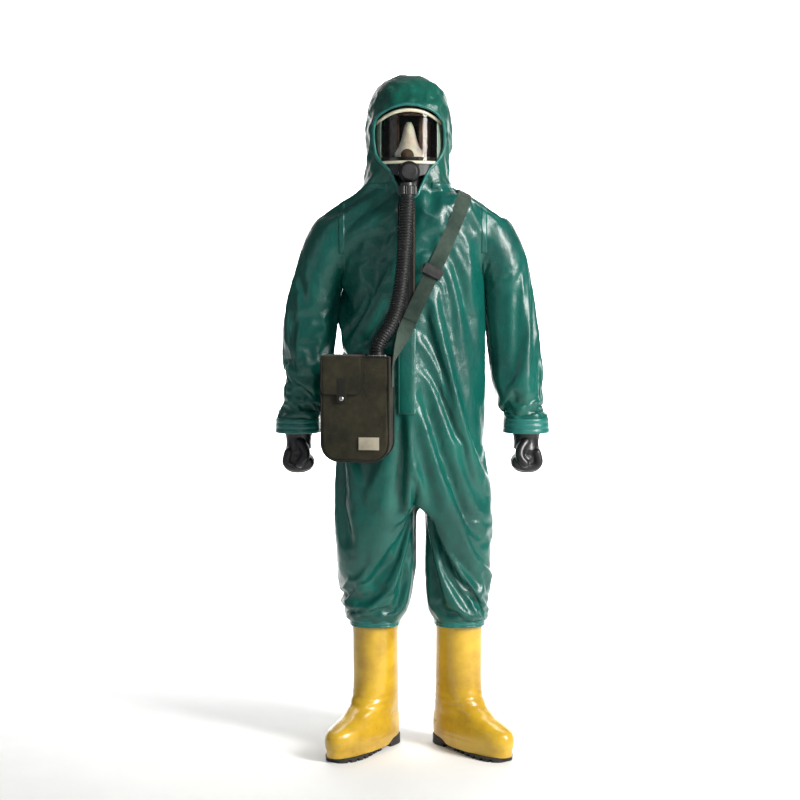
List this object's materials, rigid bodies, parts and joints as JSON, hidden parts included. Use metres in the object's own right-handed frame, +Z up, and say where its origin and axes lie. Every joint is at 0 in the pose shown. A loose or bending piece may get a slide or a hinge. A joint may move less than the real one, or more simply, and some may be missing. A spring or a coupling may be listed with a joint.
{
  "type": "chemical protective suit",
  "caption": "Hooded one-piece chemical protective suit with gloves, rubber boots, a panoramic full-face mask, and a breathing hose to a filter canister in a shoulder bag.",
  "frame": {"origin": "on the floor, under the middle of the suit's overall outline; the body's upright line is 40 mm behind it, because the bag hangs in front", "axes": "+Z up, -Y the way the suit faces, +X the wearer's left"},
  "size_m": [0.728, 0.4017, 1.778],
  "materials": {
    "coated_fabric": "glossy coated woven fabric, green",
    "black_rubber": "satin black rubber",
    "black_plastic": "satin moulded plastic",
    "yellow_pvc": "glossy moulded PVC, yellow",
    "steel": "plain worn steel",
    "clear_lens": "clear polycarbonate",
    "cream_plastic": "cream moulded plastic",
    "silicone": "translucent silicone",
    "olive_canvas": "dark olive canvas",
    "tan_patch": "beige sewn patch",
    "canister_paint": "olive drab paint",
    "webbing": "woven webbing, grey green"
  },
  "bodies": {
    "suit": {"front_panel_left": "coated_fabric", "front_panel_right": "coated_fabric", "back_panel": "coated_fabric", "hip_section_left": "coated_fabric", "hip_section_right": "coated_fabric", "crotch_gusset": "coated_fabric", "zip_placket": "black_rubber", "hood": "coated_fabric", "hood_neck": "coated_fabric", "mask_facepiece": "black_rubber", "visor": "clear_lens", "visor_rim_top": "cream_plastic", "visor_rim_bottom": "cream_plastic", "nose_cup": "silicone", "chin_housing": "black_rubber", "valve_cover": "black_plastic", "hose_inlet": "black_plastic", "harness_pad": "black_rubber", "harness_temple_strap_left": "black_rubber", "harness_temple_strap_right": "black_rubber", "harness_cheek_strap_left": "black_rubber", "harness_cheek_strap_right": "black_rubber", "breathing_hose": "black_rubber", "filter_canister": "canister_paint", "bag_body": "olive_canvas", "bag_patch": "tan_patch", "shoulder_strap": "webbing"},
    "zip_slider": {"zip_slider": "steel"},
    "zip_pull_tab": {"zip_pull_tab": "black_plastic"},
    "exhale_valve": {"exhale_valve_disc": "silicone"},
    "hose_nut_top": {"hose_nut_top": "black_plastic"},
    "hose_nut_bottom": {"hose_nut_bottom": "steel"},
    "bag_flap": {"bag_flap": "olive_canvas"},
    "strap_adjuster": {"strap_adjuster": "black_plastic"},
    "left_upper_arm": {"upper_sleeve_left": "coated_fabric", "elbow_section_left": "coated_fabric"},
    "left_forearm": {"lower_sleeve_left": "coated_fabric", "cuff_left": "coated_fabric", "glove_ring_left": "black_plastic", "glove_left": "black_rubber"},
    "left_thigh": {"thigh_section_left": "coated_fabric", "knee_section_left": "coated_fabric"},
    "left_shin": {"shin_section_left": "coated_fabric", "hem_band_left": "coated_fabric", "boot_left": "yellow_pvc", "boot_sole_left": "black_rubber"},
    "right_upper_arm": {"upper_sleeve_right": "coated_fabric", "elbow_section_right": "coated_fabric"},
    "right_forearm": {"lower_sleeve_right": "coated_fabric", "cuff_right": "coated_fabric", "glove_ring_right": "black_plastic", "glove_right": "black_rubber"},
    "right_thigh": {"thigh_section_right": "coated_fabric", "knee_section_right": "coated_fabric"},
    "right_shin": {"shin_section_right": "coated_fabric", "hem_band_right": "coated_fabric", "boot_right": "yellow_pvc", "boot_sole_right": "black_rubber"}
  },
  "joints": [
    {"name": "left_shoulder", "type": "hinge", "parent": "suit", "child": "left_upper_arm", "pos_m": [0.19, 0.04, 1.365], "axis": [-1, 0, 0], "range_deg": [-30, 110]},
    {"name": "left_elbow", "type": "hinge", "parent": "left_upper_arm", "child": "left_forearm", "pos_m": [0.266, 0.04, 1.066], "axis": [-1, 0, 0], "range_deg": [0, 100], "deforming": ["elbow_section_left"]},
    {"name": "left_hip", "type": "hinge", "parent": "suit", "child": "left_thigh", "pos_m": [0.122, 0.04, 0.88], "axis": [-1, 0, 0], "range_deg": [-10, 25], "deforming": ["hip_section_left"]},
    {"name": "left_knee", "type": "hinge", "parent": "left_thigh", "child": "left_shin", "pos_m": [0.128, 0.04, 0.48], "axis": [1, 0, 0], "range_deg": [0, 80], "deforming": ["knee_section_left"]},
    {"name": "right_shoulder", "type": "hinge", "parent": "suit", "child": "right_upper_arm", "pos_m": [-0.19, 0.04, 1.365], "axis": [-1, 0, 0], "range_deg": [-30, 110]},
    {"name": "right_elbow", "type": "hinge", "parent": "right_upper_arm", "child": "right_forearm", "pos_m": [-0.266, 0.04, 1.066], "axis": [-1, 0, 0], "range_deg": [0, 100], "deforming": ["elbow_section_right"]},
    {"name": "right_hip", "type": "hinge", "parent": "suit", "child": "right_thigh", "pos_m": [-0.102, 0.04, 0.88], "axis": [-1, 0, 0], "range_deg": [-10, 25], "deforming": ["hip_section_right"]},
    {"name": "right_knee", "type": "hinge", "parent": "right_thigh", "child": "right_shin", "pos_m": [-0.099, 0.04, 0.48], "axis": [1, 0, 0], "range_deg": [0, 80], "deforming": ["knee_section_right"]},
    {"name": "zip_slide", "type": "slide", "parent": "suit", "child": "zip_slider", "axis": [0, -0.0429, -0.9991], "range_m": [0, 0.17]},
    {"name": "zip_pull_tab_swing", "type": "hinge", "parent": "zip_slider", "child": "zip_pull_tab", "pos_m": [-0.016, -0.0978, 1.405], "axis": [-1, 0, 0], "range_deg": [0, 10]},
    {"name": "exhale_valve_lift", "type": "slide", "parent": "suit", "child": "exhale_valve", "axis": [0, -1, 0], "range_m": [0, 0.002], "stiffness_N_per_m": 15},
    {"name": "hose_nut_top_spin", "type": "hinge", "parent": "suit", "child": "hose_nut_top", "pos_m": [-0.014, -0.116, 1.47], "axis": [0, 0, 1], "continuous": true},
    {"name": "hose_nut_bottom_spin", "type": "hinge", "parent": "suit", "child": "hose_nut_bottom", "pos_m": [-0.0915, -0.1505, 1.045], "axis": [0, 0, 1], "continuous": true},
    {"name": "bag_flap_hinge", "type": "hinge", "parent": "suit", "child": "bag_flap", "pos_m": [-0.1667, -0.0964, 1.0525], "axis": [-0.9903, 0.1392, 0], "range_deg": [0, 90]},
    {"name": "strap_adjuster_slide", "type": "slide", "parent": "suit", "child": "strap_adjuster", "axis": [0.4429, 0.0783, 0.8932], "range_m": [-0.03, 0.03], "deforming": ["shoulder_strap"]}
  ]
}
